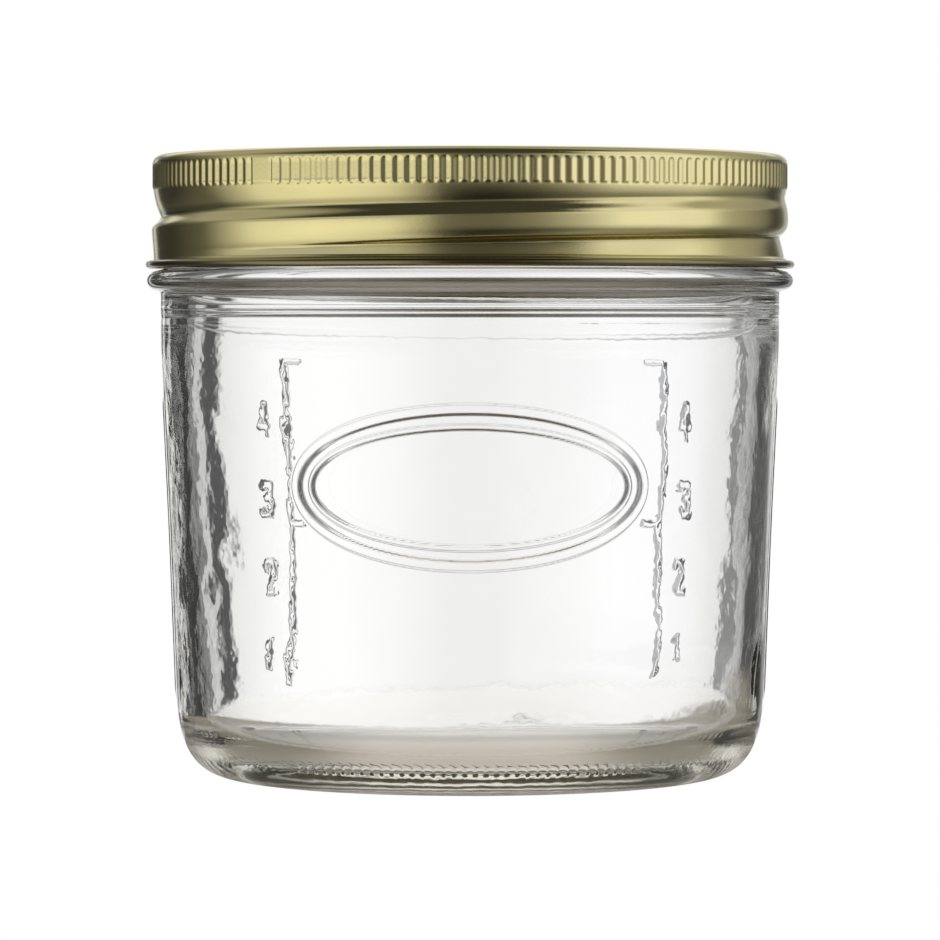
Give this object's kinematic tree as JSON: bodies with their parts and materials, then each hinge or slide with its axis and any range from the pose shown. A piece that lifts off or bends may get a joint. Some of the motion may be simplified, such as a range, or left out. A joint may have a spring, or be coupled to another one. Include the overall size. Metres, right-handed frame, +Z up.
{
  "type": "preserving jar",
  "caption": "Wide-mouth glass preserving jar with a flat vacuum disc, a sealing ring bonded under its edge and a knurled gold screw band that holds it down.",
  "frame": {"origin": "middle of the base, on the plane that the jar stands on", "axes": "+Z up along the jar's axis, -Y towards the front that the picture shows, +X to its right"},
  "size_m": [0.1002, 0.1002, 0.0958],
  "materials": {
    "clear_glass": "clear pressed glass",
    "gold_lacquer": "satin gold lacquer on tinplate",
    "disc_lacquer": "satin gold lacquer on tinplate",
    "seal_compound": "soft moulded sealing compound"
  },
  "bodies": {
    "jar": {"glass_jar": "clear_glass"},
    "disc": {"vacuum_disc": "disc_lacquer", "sealing_ring": "seal_compound"},
    "band": {"screw_band": "gold_lacquer"}
  },
  "joints": [
    {"name": "disc_lift", "type": "slide", "parent": "jar", "child": "disc", "axis": [0, 0, 1], "range_m": [0, 0.0184]},
    {"name": "band_turn", "type": "hinge", "parent": "disc", "child": "band", "pos_m": [0, 0, 0.0942], "axis": [0, 0, 1], "range_deg": [0, 1080]}
  ],
  "couplings": [
    {"joint": "disc_lift", "follows": "band_turn", "m_per_rad": 0.00097085}
  ]
}
